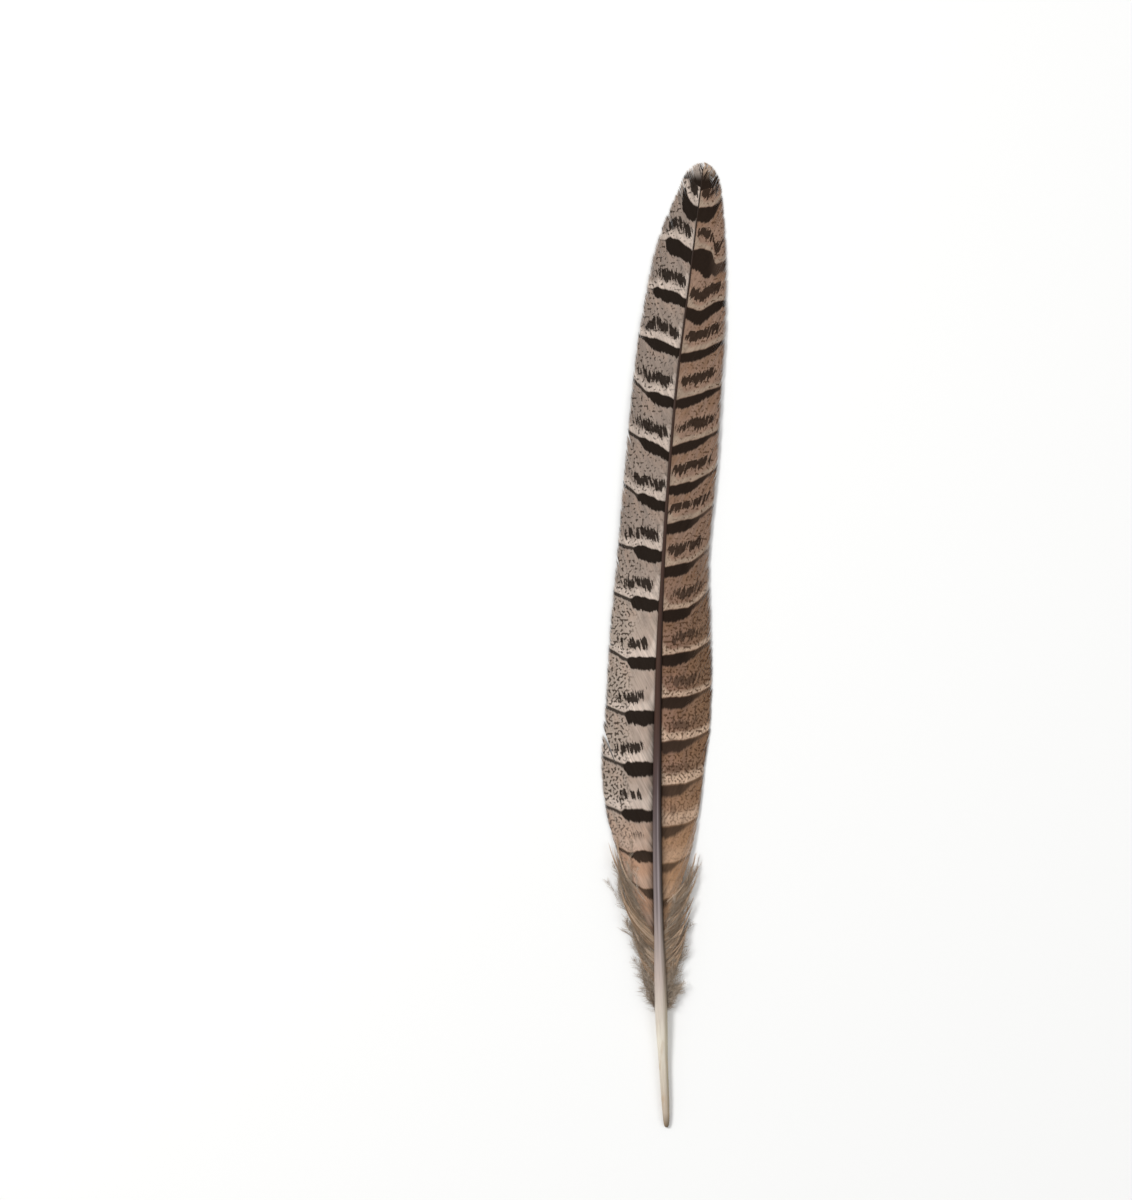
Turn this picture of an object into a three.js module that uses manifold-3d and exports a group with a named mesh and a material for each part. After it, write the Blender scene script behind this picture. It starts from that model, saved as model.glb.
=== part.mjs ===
// A barred tail feather lying flat, upper side up, on the table plane z = 0.
// Millimetres. +Y runs from the quill's end to the feather's tip, +X to the right, +Z up.
// It is one grown thing, so it is one body: the shaft, with both vanes and the down fused to it.

import * as THREE from 'three';
import Module from 'manifold-3d';

// ---- sizes ----

// Distances along the feather are stations: 0 at the quill's end, 264.3 at the tip.

// Middle line of the shaft seen from above, as [station, sideways position].
const SHAFT_LINE = [[0, 0.7], [34, -0.9], [87, -2.0], [128, -1.5], [157, -0.2], [199, 2.95],
  [233, 7.1], [264, 10.9]];

// Half the shaft's width, as [station, radius]: blunt end, swollen quill, long thin taper.
const SHAFT_RADIUS = [[0, 0.4], [0.8, 0.75], [3, 0.95], [10, 1.17], [18, 1.26], [25, 1.58],
  [34, 1.76], [44, 1.62], [54, 1.3], [95, 1.2], [117, 0.97], [144, 0.83], [172, 0.7],
  [199, 0.56], [230, 0.4], [263, 0.2]];

// The shaft lies on the table up to LIE_END, then bows up by SHAFT_BOW and comes down at its tip.
const LIE_END = 17;
const SHAFT_END = 263;
const SHAFT_BOW = 3.2;
const BOW_POWER = 1.35;
const TIP_CLEARANCE = 0.12;

const SHAFT_SIDES = 12;
const SHAFT_RING_STEP = 9;
const SHAFT_FIRST_RINGS = [0, 0.8, 3, 10, LIE_END];

// Width of each vane, measured straight out from the middle line, as [station, width].
const LEFT_WIDTH = [[72, 9.8], [80, 12.4], [88, 14.3], [101, 15.5], [115, 14.6], [130, 14.0],
  [148, 13.3], [160, 12.8], [199, 12.3], [214, 12.3], [227, 11.8], [238, 11.1], [247, 9.4],
  [255, 6.9], [258.7, 5.8], [261.7, 4.8], [263.6, 3.0], [264.3, 1.0]];
const RIGHT_WIDTH = [[63, 5.4], [71, 7.9], [78, 10.2], [92, 12.5], [100, 13.3], [110, 14.7],
  [122, 15.0], [136, 14.4], [158, 12.8], [182, 13.4], [205, 12.6], [215, 12.2], [226, 11.0],
  [238, 9.6], [247, 8.0], [255, 6.3], [258.7, 5.4], [261.7, 3.9], [263.6, 1.9], [264.2, 0.6]];

// A barb leaves the shaft at BARB_ROOT_ANGLE to it and has swung to BARB_END_ANGLE at the edge.
const BARB_ROOT_ANGLE = 32;
const BARB_END_ANGLE = 20;

// Each vane is a row of narrow locks of barbs. A lock has a raised middle line and low joints.
const LOCKS_PER_VANE = 36;
const LOCK_RISE = 0.09;
const JOINT_REACH = 0.978;
const LOCK_REACH_CHANGE = 0.012;
const VANE_ROWS = [0, 0.16, 0.36, 0.58, 0.8, 1];
const VANE_THICKNESS = [0.46, 0.26];

// The outer edge of a vane hangs lower than the shaft, as [station, height above the table].
const LEFT_EDGE_HEIGHT = [[60, 1.4], [84, 0.25], [105, 0], [150, 0.5], [190, 0.9], [230, 0.4],
  [252, 0], [264, 0]];
const RIGHT_EDGE_HEIGHT = [[60, 1.6], [90, 0.35], [118, 0], [160, 0.55], [196, 0.8], [232, 0.35],
  [254, 0], [264, 0]];

// Where neighbouring locks have come apart, as [station at the edge, share of the barb still joined].
const LEFT_SPLITS = [[109.3, 0.68], [156.5, 0.86], [191, 0.88], [227.5, 0.9], [246, 0.84], [258.5, 0.84]];
const RIGHT_SPLITS = [[86, 0.82], [107.5, 0.8], [137, 0.9], [180, 0.88], [218, 0.9], [244, 0.86],
  [257, 0.84]];
const SPLIT_HALF_WIDTH = 0.35;

// Down at the foot of the vanes, as tapering curved locks. Stations and lengths run from the
// lowest lock to the highest one.
const DOWN_ROOTS = [31, 61];
const DOWN_LOCKS = { left: 12, right: 11 };
const DOWN_LENGTH = { left: [7, 26], right: [7, 20] };
const DOWN_START_ANGLE = 62;
const DOWN_END_ANGLE = { left: 4, right: 12 };
const DOWN_WIDTH = 2.1;
const DOWN_THICKNESS = 0.55;
const DOWN_TIP_HEIGHT = [0.35, 2.7];
const DOWN_STEPS = 6;

// ---- small helpers ----

// Smooth curve through [place, value] pairs that never overshoots between them.
function curveThrough(points) {
  const slopes = points.map((point, i) => {
    if (i === 0 || i === points.length - 1) return 0;
    const before = (point[1] - points[i - 1][1]) / (point[0] - points[i - 1][0]);
    const after = (points[i + 1][1] - point[1]) / (points[i + 1][0] - point[0]);
    return before * after <= 0 ? 0 : (2 * before * after) / (before + after);
  });
  const last = points.length - 1;
  slopes[0] = (points[1][1] - points[0][1]) / (points[1][0] - points[0][0]);
  slopes[last] = (points[last][1] - points[last - 1][1]) / (points[last][0] - points[last - 1][0]);
  return (place) => {
    const x = THREE.MathUtils.clamp(place, points[0][0], points[last][0]);
    let i = 0;
    while (i < last - 1 && x > points[i + 1][0]) i += 1;
    const span = points[i + 1][0] - points[i][0];
    const t = (x - points[i][0]) / span;
    const a = points[i][1];
    const b = points[i + 1][1];
    return (2 * t ** 3 - 3 * t ** 2 + 1) * a + (t ** 3 - 2 * t ** 2 + t) * span * slopes[i]
      + (3 * t ** 2 - 2 * t ** 3) * b + (t ** 3 - t ** 2) * span * slopes[i + 1];
  };
}

// Repeatable uneven number between -1 and 1 for item i of a row.
function uneven(i, row) {
  const wave = Math.sin(i * 12.9898 + row * 78.233) * 43758.5453;
  return 2 * (wave - Math.floor(wave)) - 1;
}

const radians = THREE.MathUtils.degToRad;
const mix = THREE.MathUtils.lerp;

const shaftX = curveThrough(SHAFT_LINE);
const shaftRadius = curveThrough(SHAFT_RADIUS);

// Height of the shaft's underside above the table.
function shaftUnderside(station) {
  if (station <= LIE_END) return 0;
  const way = Math.min((station - LIE_END) / (SHAFT_END - LIE_END), 1);
  return SHAFT_BOW * Math.sin(Math.PI * way) ** BOW_POWER + TIP_CLEARANCE * way;
}

function shaftMiddleZ(station) {
  return shaftUnderside(station) + shaftRadius(station) * Math.cos(Math.PI / SHAFT_SIDES);
}

// ---- closed meshes from rings and from sheets ----

// Each ring is a loop of points; neighbouring rings are joined and the two ends are capped.
function loft(rings) {
  const sides = rings[0].length;
  const points = rings.flat();
  const faces = [];
  for (let r = 0; r < rings.length - 1; r += 1) {
    for (let i = 0; i < sides; i += 1) {
      const a = r * sides + i;
      const b = r * sides + (i + 1) % sides;
      faces.push(a, b, b + sides, a, b + sides, a + sides);
    }
  }
  const top = (rings.length - 1) * sides;
  for (let i = 1; i < sides - 1; i += 1) {
    faces.push(0, i + 1, i);
    faces.push(top, top + i, top + i + 1);
  }
  return { points, faces };
}

// A thin sheet: upper and lower points in columns, closed round its border.
function sheet(upper, lower) {
  const columns = upper.length;
  const rows = upper[0].length;
  const points = [...upper.flat(), ...lower.flat()];
  const under = columns * rows;
  const at = (c, r) => c * rows + r;
  const faces = [];
  const wall = (a, b) => faces.push(a, b, b + under, a, b + under, a + under);
  for (let c = 0; c < columns - 1; c += 1) {
    for (let r = 0; r < rows - 1; r += 1) {
      const [p, q, s, t] = [at(c, r), at(c + 1, r), at(c + 1, r + 1), at(c, r + 1)];
      faces.push(p, s, q, p, t, s);
      faces.push(p + under, q + under, s + under, p + under, s + under, t + under);
    }
    wall(at(c, 0), at(c + 1, 0));
    wall(at(c + 1, rows - 1), at(c, rows - 1));
  }
  for (let r = 0; r < rows - 1; r += 1) {
    wall(at(0, r + 1), at(0, r));
    wall(at(columns - 1, r), at(columns - 1, r + 1));
  }
  return { points, faces };
}

// ---- shaft ----

function shaftShape() {
  const stations = [...SHAFT_FIRST_RINGS];
  const ringCount = Math.round((SHAFT_END - LIE_END) / SHAFT_RING_STEP);
  for (let i = 1; i <= ringCount; i += 1) {
    stations.push(mix(LIE_END, SHAFT_END, i / ringCount));
  }
  const rings = stations.map((station) => {
    const ring = [];
    for (let i = 0; i < SHAFT_SIDES; i += 1) {
      const angle = (2 * Math.PI * (i + 0.5)) / SHAFT_SIDES - Math.PI / 2;
      const x = shaftX(station) - shaftRadius(station) * Math.cos(angle);
      const z = shaftMiddleZ(station) + shaftRadius(station) * Math.sin(angle);
      ring.push(new THREE.Vector3(x, station, z));
    }
    return ring;
  });
  return loft(rings);
}

// ---- vanes ----

// Point on a barb, seen from above. The barb ends at station `edge`, and `share` runs from 0 at
// the middle line to 1 at the vane's edge.
function barbPoint(vane, edge, share) {
  const width = vane.width(edge);
  const rootLean = 1 / Math.tan(radians(BARB_ROOT_ANGLE));
  const endLean = 1 / Math.tan(radians(BARB_END_ANGLE));
  const rest = 1 - share;
  const back = rootLean * rest + 0.5 * (endLean - rootLean) * (1 - share ** 2);
  const station = edge - width * back;
  return { station, out: width * share };
}

// Height of the vane's middle layer: level at the shaft, then falling away to the edge.
function vaneHeight(vane, station, out) {
  const root = shaftMiddleZ(station) + 0.25 * shaftRadius(station);
  const across = Math.min(out / Math.max(vane.width(station), 1.5), 1.1);
  const edge = vane.edgeHeight(station) + VANE_THICKNESS[1] / 2;
  return mix(root, edge, 0.5 * across + 0.5 * across ** 2);
}

// Columns of a vane: lock middles and joints in turn, and three close columns at each split.
function vaneColumns(vane) {
  const columns = [];
  const count = 2 * LOCKS_PER_VANE;
  for (let i = 0; i <= count; i += 1) {
    const edge = mix(vane.firstEdge, vane.lastEdge, i / count);
    const isJoint = i % 2 === 1;
    const reach = isJoint ? JOINT_REACH : 1 + LOCK_REACH_CHANGE * uneven(i, vane.row);
    const nearSplit = vane.splits.some(([place]) => Math.abs(edge - place) < 2.2 * SPLIT_HALF_WIDTH);
    if (!nearSplit) columns.push({ edge, reach, rise: isJoint ? -LOCK_RISE : LOCK_RISE });
  }
  for (const [place, joined] of vane.splits) {
    columns.push({ edge: place - SPLIT_HALF_WIDTH, reach: 0.99, rise: 0 });
    columns.push({ edge: place, reach: joined, rise: -LOCK_RISE });
    columns.push({ edge: place + SPLIT_HALF_WIDTH, reach: 1, rise: 0 });
  }
  return columns.sort((a, b) => a.edge - b.edge);
}

function vaneShape(vane) {
  const upper = [];
  const lower = [];
  for (const column of vaneColumns(vane)) {
    const up = [];
    const down = [];
    for (const row of VANE_ROWS) {
      const root = barbPoint(vane, column.edge, 0);
      const start = (0.35 * shaftRadius(root.station)) / vane.width(column.edge);
      const { station, out } = barbPoint(vane, column.edge, mix(start, column.reach, row));
      const thickness = mix(VANE_THICKNESS[0], VANE_THICKNESS[1], row);
      const rise = column.rise * Math.sin(Math.PI * Math.min(row + 0.12, 0.88));
      const x = shaftX(station) + vane.side * out;
      const z = vaneHeight(vane, station, out) + rise + LOCK_RISE * row * (1 - row);
      up.push(new THREE.Vector3(x, station, z + thickness / 2));
      down.push(new THREE.Vector3(x, station, Math.max(z - thickness / 2, 0)));
    }
    upper.push(up);
    lower.push(down);
  }
  // Mirrored columns run the other way, so that the sheet's upper face looks up on both sides.
  if (vane.side < 0) {
    upper.reverse();
    lower.reverse();
  }
  return sheet(upper, lower);
}

const LEFT_VANE = {
  side: -1,
  row: 1,
  width: curveThrough(LEFT_WIDTH),
  edgeHeight: curveThrough(LEFT_EDGE_HEIGHT),
  splits: LEFT_SPLITS,
  firstEdge: 72,
  lastEdge: 264.3,
};
const RIGHT_VANE = {
  side: 1,
  row: 2,
  width: curveThrough(RIGHT_WIDTH),
  edgeHeight: curveThrough(RIGHT_EDGE_HEIGHT),
  splits: RIGHT_SPLITS,
  firstEdge: 63,
  lastEdge: 264.2,
};

// ---- down ----

// One tapering lock of down with a four-sided section, swinging from outwards to along the shaft.
function downShape(sideName, side, index) {
  const count = DOWN_LOCKS[sideName];
  const up = index / (count - 1);
  const root = mix(DOWN_ROOTS[0], DOWN_ROOTS[1], up) + uneven(index, side + 5);
  const length = mix(DOWN_LENGTH[sideName][0], DOWN_LENGTH[sideName][1], up)
    * (1 + 0.12 * uneven(index, side + 9));
  const turn = 8 * uneven(index, side + 13);
  const middle = new THREE.Vector3(shaftX(root), root, shaftMiddleZ(root));
  const tipHeight = mix(...DOWN_TIP_HEIGHT, 0.5 + 0.5 * uneven(index, side + 17));
  const rings = [];
  for (let i = 0; i <= DOWN_STEPS; i += 1) {
    const t = i / DOWN_STEPS;
    const angle = radians(mix(DOWN_START_ANGLE, DOWN_END_ANGLE[sideName], t ** 0.8) + turn * t);
    const across = new THREE.Vector3(-side * Math.cos(angle), Math.sin(angle), 0);
    const belly = Math.sin(Math.PI * (0.12 + 0.84 * t));
    const half = across.multiplyScalar((DOWN_WIDTH / 2) * belly * (0.7 + 0.5 * up));
    const thick = (DOWN_THICKNESS / 2) * (1 - 0.75 * t);
    const floor = thick + 0.02;
    const z = Math.max(mix(middle.z, tipHeight, t ** 0.9), floor);
    const spine = new THREE.Vector3(middle.x, middle.y, z);
    rings.push([
      spine.clone().add(half),
      new THREE.Vector3(spine.x, spine.y, z + side * thick),
      spine.clone().sub(half),
      new THREE.Vector3(spine.x, spine.y, z - side * thick),
    ]);
    middle.x += side * Math.sin(angle) * (length / DOWN_STEPS);
    middle.y += Math.cos(angle) * (length / DOWN_STEPS);
  }
  return loft(rings);
}

// ---- fusing ----

const wasm = await Module();
wasm.setup();

function solid({ points, faces }) {
  const vertProperties = new Float32Array(points.flatMap((point) => [point.x, point.y, point.z]));
  const triVerts = new Uint32Array(faces);
  return new wasm.Manifold(new wasm.Mesh({ numProp: 3, vertProperties, triVerts }));
}

function fuseFeather() {
  let feather = solid(shaftShape()).add(solid(vaneShape(LEFT_VANE))).add(solid(vaneShape(RIGHT_VANE)));
  for (const [sideName, side] of [['left', -1], ['right', 1]]) {
    for (let i = 0; i < DOWN_LOCKS[sideName]; i += 1) {
      feather = feather.add(solid(downShape(sideName, side, i)));
    }
  }
  return feather.getMesh();
}

function featherGeometry() {
  const mesh = fuseFeather();
  const geometry = new THREE.BufferGeometry();
  geometry.setAttribute('position', new THREE.BufferAttribute(mesh.vertProperties, 3));
  geometry.setIndex(new THREE.BufferAttribute(mesh.triVerts, 1));
  // The origin is under the middle of the feather, on the table.
  geometry.computeBoundingBox();
  const middle = geometry.boundingBox.getCenter(new THREE.Vector3());
  geometry.translate(-middle.x, -middle.y, -geometry.boundingBox.min.z);
  return geometry;
}

const featherMaterial = new THREE.MeshStandardMaterial({
  color: 0x8c7665,
  roughness: 0.75,
  metalness: 0,
});

const group = new THREE.Group();
group.name = 'pheasant_tail_feather';
const feather = new THREE.Mesh(featherGeometry(), featherMaterial);
feather.name = 'feather';
group.add(feather);

export default group;
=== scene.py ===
"""A barred tail feather lying flat on a pale table, upper side up.

Metres, +Y from the quill's end to the feather's tip, +X to the right, +Z up. Places on the
feather are given in millimetres: a station is the distance from the quill's end, and across,
or q, is the share of the vane's width, 0 at the shaft and 1 at the vane's edge.
"""

import math
from functools import reduce
from types import SimpleNamespace

import bpy
import numpy as np
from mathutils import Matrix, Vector


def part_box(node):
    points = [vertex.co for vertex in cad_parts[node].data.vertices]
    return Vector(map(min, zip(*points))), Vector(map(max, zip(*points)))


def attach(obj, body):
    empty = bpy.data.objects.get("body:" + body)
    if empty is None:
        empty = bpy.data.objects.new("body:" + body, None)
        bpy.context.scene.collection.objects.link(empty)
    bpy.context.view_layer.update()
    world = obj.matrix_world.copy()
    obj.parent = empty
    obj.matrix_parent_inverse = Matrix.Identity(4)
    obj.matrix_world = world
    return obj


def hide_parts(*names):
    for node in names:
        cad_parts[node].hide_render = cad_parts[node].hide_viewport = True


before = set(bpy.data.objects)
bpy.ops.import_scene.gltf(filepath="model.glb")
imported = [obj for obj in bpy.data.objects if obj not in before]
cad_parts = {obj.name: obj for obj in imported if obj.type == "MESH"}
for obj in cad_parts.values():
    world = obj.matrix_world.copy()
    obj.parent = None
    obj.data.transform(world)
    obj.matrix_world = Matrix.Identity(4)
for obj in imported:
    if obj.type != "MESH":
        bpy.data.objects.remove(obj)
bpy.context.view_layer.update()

MM = 0.001
UP = np.array([0.0, 0.0, 1.0])

# ---- where things are on the feather, in millimetres ----

FEATHER_LENGTH = 264.3
# The sideways middle of the feather's outline, which is at x = 0 in the shared frame.
MIDDLE_X = 0.043
QUILL_END_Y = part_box("feather")[0][1] / MM
# From places on the feather to millimetres in the shared frame.
TO_FRAME = np.array([-MIDDLE_X, QUILL_END_Y, 0])

SHAFT_LINE = [
    (0, 0.7), (34, -0.9), (87, -2), (128, -1.5), (157, -0.2), (199, 2.95), (233, 7.1), (264, 10.9),
]
SHAFT_RADIUS = [
    (0, 0.4), (0.8, 0.75), (3, 0.95), (10, 1.17), (18, 1.26), (25, 1.58), (34, 1.76), (44, 1.62),
    (54, 1.3), (95, 1.2), (117, 0.97), (144, 0.83), (172, 0.7), (199, 0.56), (230, 0.4), (263, 0.2),
]
# The shaft lies flat up to LIE_END, and from there it bows up and comes down at the tip.
LIE_END = 17
SHAFT_END = 263
SHAFT_BOW = 3.2
BOW_POWER = 1.35
TIP_CLEARANCE = 0.12
# Height of the shaft's middle over its underside, in shaft radii.
SHAFT_LEVEL = 0.966
SHAFT_LIFT = 0.02
SHAFT_SIDES = 20
QUILL_STATIONS = [0, 0.35, 1, 3, 6, 10, 14, 18, 22, 26, 30, 34, 38, 42, 46, 50, 54]
SHAFT_STATIONS = QUILL_STATIONS + list(range(62, 262, 8)) + [260, SHAFT_END]
QUILL_WALL = 0.13
# The hole in the quill's end: how deep each step goes and how much it narrows.
QUILL_HOLE_STEPS = ((0.15, 1), (2.2, 0.8))
# Depth of the groove below the shaft, in shaft radii.
GROOVE_DEPTH = 0.34

LEFT_WIDTH = [
    (72, 9.8), (80, 12.4), (88, 14.3), (101, 15.5), (115, 14.6), (130, 14), (148, 13.3), (160, 12.8),
    (199, 12.3), (214, 12.3), (227, 11.8), (238, 11.1), (247, 9.4), (255, 6.9), (258.7, 5.8),
    (261.7, 4.8), (263.4, 3.2), (264.1, 1.7), (264.3, 0.1),
]
RIGHT_WIDTH = [
    (63, 5.4), (71, 7.9), (78, 10.2), (92, 12.5), (100, 13.3), (110, 14.7), (122, 15), (136, 14.4),
    (158, 12.8), (182, 13.4), (205, 12.6), (215, 12.2), (226, 11), (238, 9.6), (247, 8),
    (255, 6.3), (258.7, 5.4), (261.7, 3.9), (263.4, 2.2), (264.1, 0.9), (264.3, 0.1),
]
LEFT_EDGE_HEIGHT = [
    (60, 1.4), (84, 0.25), (105, 0), (150, 0.5), (190, 0.9), (230, 0.4), (252, 0), (264, 0),
]
RIGHT_EDGE_HEIGHT = [
    (60, 1.6), (90, 0.35), (118, 0), (160, 0.55), (196, 0.8), (232, 0.35), (254, 0), (264, 0),
]
# Where the vanes have come apart: station at the edge, share of the barb that is still joined.
LEFT_SPLITS = [(109.3, 0.68), (156.5, 0.86), (191, 0.88), (227.5, 0.9), (246, 0.84), (258.5, 0.84)]
RIGHT_SPLITS = [(86, 0.82), (107.5, 0.8), (137, 0.9), (180, 0.88), (218, 0.9), (244, 0.86), (257, 0.84)]
LOCKS_PER_VANE = 36

BARB_ROOT_LEAN = 1 / math.tan(math.radians(32))
BARB_END_LEAN = 1 / math.tan(math.radians(20))
BARB_PITCH = 0.3
BARB_RINGS = 26
BARB_OVERLAP = 1.4
BARB_HALF_WIDTHS = (0.045, 0.26)
# A blade's half thickness, and how far one of its two edges hangs down.
BLADE_RIDGE = 0.07
BLADE_DROOP = 0.04
# Heights of the barbs' middle lines: the least, and what they have over the vane's lower edge.
LOWEST_BARB = 0.09
EDGE_CLEARANCE = 0.13
# How far along the vane's edge a split pushes barbs apart.
SPLIT_SPREAD = 2.6
ROOT_SAMPLES = 20000
# Distance between neighbouring barbs, square to them.
BARB_SPACING = 0.126

# ---- the dark bars, in millimetres ----

# Stations of the middles of the bars where they meet the shaft, from foot to tip.
LEFT_BARS = [
    54, 64, 74.2, 85.5, 98.3, 112.3, 127.1, 142.8, 156.2, 169.8, 183.4, 197.8, 211.7, 225,
    237.6, 250, 259.8,
]
RIGHT_BARS = [
    52.5, 61.4, 71.2, 81.1, 92.3, 104.3, 116.1, 127.7, 139.8, 151.9, 163.6, 174.1, 185, 197.6,
    210.4, 223.2, 237.6, 250, 257.6,
]
# For bars at a station: how thick they are near the shaft, how far across the thick part
# reaches, how much that part rises towards the edge, and how much the whole bar rises.
LEFT_BAR_THICKNESS = [
    (54, 2), (64, 3), (74, 3.1), (85, 3.3), (98, 3.9), (112, 4), (128, 3.6), (156, 3.7),
    (170, 3), (184, 3.1), (198, 3.2), (212, 3), (225, 3.1), (237.6, 4.3), (250, 4.3), (259.8, 7.4),
]
LEFT_BAR_REACH = [
    (54, 0.4), (64, 0.45), (74, 0.72), (85, 0.66), (98, 0.57), (143, 0.58), (156, 0.6), (170, 0.62),
    (184, 0.72), (198, 0.66), (212, 0.9), (225, 0.82), (237.6, 0.74), (250, 0.72), (259.8, 0.6),
]
LEFT_BLOCK_RISE = [
    (54, 1), (64, 0.9), (74, 0.5), (85, 0.2), (127, 0.2), (143, 1), (156, 1.6), (170, 2.5),
    (184, 4.8), (198, 2.9), (212, 4.4), (225, 4), (237.6, 4.7), (250, 6.6), (259.8, 1),
]
LEFT_EDGE_RISE = [
    (54, 5.4), (64, 5.4), (74, 2.6), (85, 2.3), (98, 3.2), (112, 2.8), (127, 3.8), (156, 3.2), (170, 6.6),
    (184, 7.2), (198, 7.3), (212, 4.9), (225, 4.6), (237.6, 5), (250, 8), (259.8, -0.5),
]
# 1 for a block that rises evenly, less for one that levels off outwards, more for a hollow.
LEFT_BLOCK_BEND = [
    (54, 2), (74, 2.4), (85, 1.15), (156, 1.1), (184, 1), (212, 1), (225, 0.6),
    (237.6, 0.65), (250, 1.9), (259.8, 1.3),
]
RIGHT_BAR_THICKNESS = [
    (52, 1.9), (71, 2.6), (81, 3), (92, 3.3), (104, 3.3), (128, 3.3), (163, 3.3), (174, 3),
    (185, 2.9), (198, 2.9), (210, 2.8), (223, 4), (237.6, 6.2), (250, 4.3), (257.6, 7.6),
]
RIGHT_BAR_REACH = [
    (52, 0.6), (92, 0.7), (128, 0.72), (140, 0.68), (163, 0.7), (174, 0.76), (185, 0.74), (198, 0.86),
    (210, 0.9), (223, 0.95), (237.6, 0.66), (250, 0.74), (257.6, 0.95),
]
# The right bars lean evenly upwards, hook up near the edge, and may sag at one place.
RIGHT_LEAN = [
    (52, 1.5), (81, 0.8), (116, 1.2), (128, 2), (152, 2.6), (174, 3), (185, 4.2), (198, 4),
    (210, 2.8), (223, 1.4), (237.6, 0.3), (250, 0.4), (257.6, 2.2),
]
RIGHT_HOOK = [
    (52, 2), (104, 3), (128, 3.4), (140, 5), (152, 4), (174, 3.4), (185, 1.4), (198, 0.9),
    (210, 2.3), (223, 1), (237.6, 1.5), (250, 4.2), (257.6, 1.5),
]
RIGHT_SAG = [(52, 0.3), (198, 0.1), (210, 0.15), (223, 2.1), (237.6, 0), (257.6, 0)]
RIGHT_SAG_PLACE = [(52, 0.2), (223, 0.34), (250, 0.4)]
LINE_THICKNESS = 0.95
# The right bar at 237.6 has a belly, and a hook that hangs below the bar's outer end.
HOOKED_BELLY = 3
HOOKED_DROP = 3.4
HOOKED_END_THICKNESS = 2.7
# Added to the bars' numbers, so that they stay above 0 below the first bar.
FIRST_BAR_NUMBER = 20

# ---- the down and the loose barbs at the foot ----

DOWN_ROOTS = (31, 61)
DOWN_LENGTH = {-1: (7, 26), 1: (7, 20)}
DOWN_START_ANGLE = math.radians(62)
DOWN_END_ANGLE = {-1: math.radians(4), 1: math.radians(12)}
DOWN_TIP_HEIGHT = (0.35, 2.7)
DOWN_TUFTS = 17
STEMS_PER_TUFT = 6
DOWN_STEPS = 18
STEM_RADIUS = (0.07, 0.02)
# The side branches: places of their rings along them, radii there, and lengths low and high up.
BRANCH_WAY = (0, 0.36, 0.7, 1)
BRANCH_RADIUS = (0.04, 0.034, 0.025, 0.012)
BRANCH_LENGTH = (2.3, 1.7)
BRANCH_PITCH = 0.34
BRANCH_SAG = 0.15
BRANCH_HEIGHTS = (0.06, 4.3)
TUBE_SIDES = 3
LOOSE_LOCKS = 15
BARBS_PER_LOCK = 15
LOOSE_STEPS = 20
LOOSE_END_HEIGHT = (0.5, 2.6)
LOOSE_HALF_WIDTH = 0.1
# In radians, near enough for angles drawn at random.
FULL_TURN = 6.28

# ---- the colour map that each mesh of strands carries ----

# Parts of a strand's field: its two long edges, the stretch from root to last ring, and the tip.
MAP_FIELD_EDGES = (0.06, 0.94)
MAP_STRAND_SPAN = (0.05, 0.9)
MAP_TIP = 0.97
HAIR_MAP_ROWS = 200

# ---- finish, table and camera ----

BUMP_STRENGTH = 0.4
# The table, in metres, lies a hair below the feather.
TABLE_SIZE = 12
TABLE_GAP = 0.00005
CAMERA_LENS_MM = 100
CAMERA_SENSOR_MM = 36
MM_PER_PIXEL = 0.274
VIEW_SIZE_PIXELS = (1132, 1200)
QUILL_END_PIXEL = (664, 1127)


# ---- small helpers ----


def curve_through(points):
    """Smooth curve through (place, value) pairs that never overshoots between them."""
    x, y = np.array(points, float).T
    steps = np.diff(y) / np.diff(x)
    product, total = steps[:-1] * steps[1:], steps[:-1] + steps[1:]
    bends = np.where(product > 0, 2 * product / np.where(total == 0, 1, total), 0)
    slopes = np.concatenate([steps[:1], bends, steps[-1:]])

    def at(place):
        place = np.clip(place, x[0], x[-1])
        i = np.clip(np.searchsorted(x, place, side="right") - 1, 0, len(x) - 2)
        span = x[i + 1] - x[i]
        t = (place - x[i]) / span
        start = (2 * t**3 - 3 * t**2 + 1) * y[i] + (t**3 - 2 * t**2 + t) * span * slopes[i]
        return start + (3 * t**2 - 2 * t**3) * y[i + 1] + (t**3 - t**2) * span * slopes[i + 1]

    return at


shaft_x = curve_through(SHAFT_LINE)
shaft_radius = curve_through(SHAFT_RADIUS)


def mix(a, b, share):
    return a + (b - a) * share


def smooth_step(low, high, value):
    t = np.clip((value - low) / (high - low), 0, 1)
    return t * t * (3 - 2 * t)


def unit(vectors):
    return vectors / np.maximum(np.linalg.norm(vectors, axis=-1, keepdims=True), 1e-9)


def heading(path):
    return unit(np.gradient(path, axis=1))


def drift(count, step, random):
    """Numbers between -1 and 1 that wander slowly along a row, with a knot every few items."""
    knots = 2 * random.random(int(count / step) + 3) - 1
    place = np.arange(count) / step
    low = place.astype(int)
    t = place - low
    return mix(knots[low], knots[low + 1], t * t * (3 - 2 * t))


def shaft_middle_z(station):
    way = np.clip((station - LIE_END) / (SHAFT_END - LIE_END), 0, 1)
    lift = SHAFT_BOW * np.abs(np.sin(np.pi * way)) ** BOW_POWER + TIP_CLEARANCE * way
    return lift + shaft_radius(station) * SHAFT_LEVEL


def to_table(points):
    """Feather millimetres (sideways, station, height) to metres in the shared frame."""
    return (points + TO_FRAME) * MM


# ---- how the bars lie ----


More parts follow.
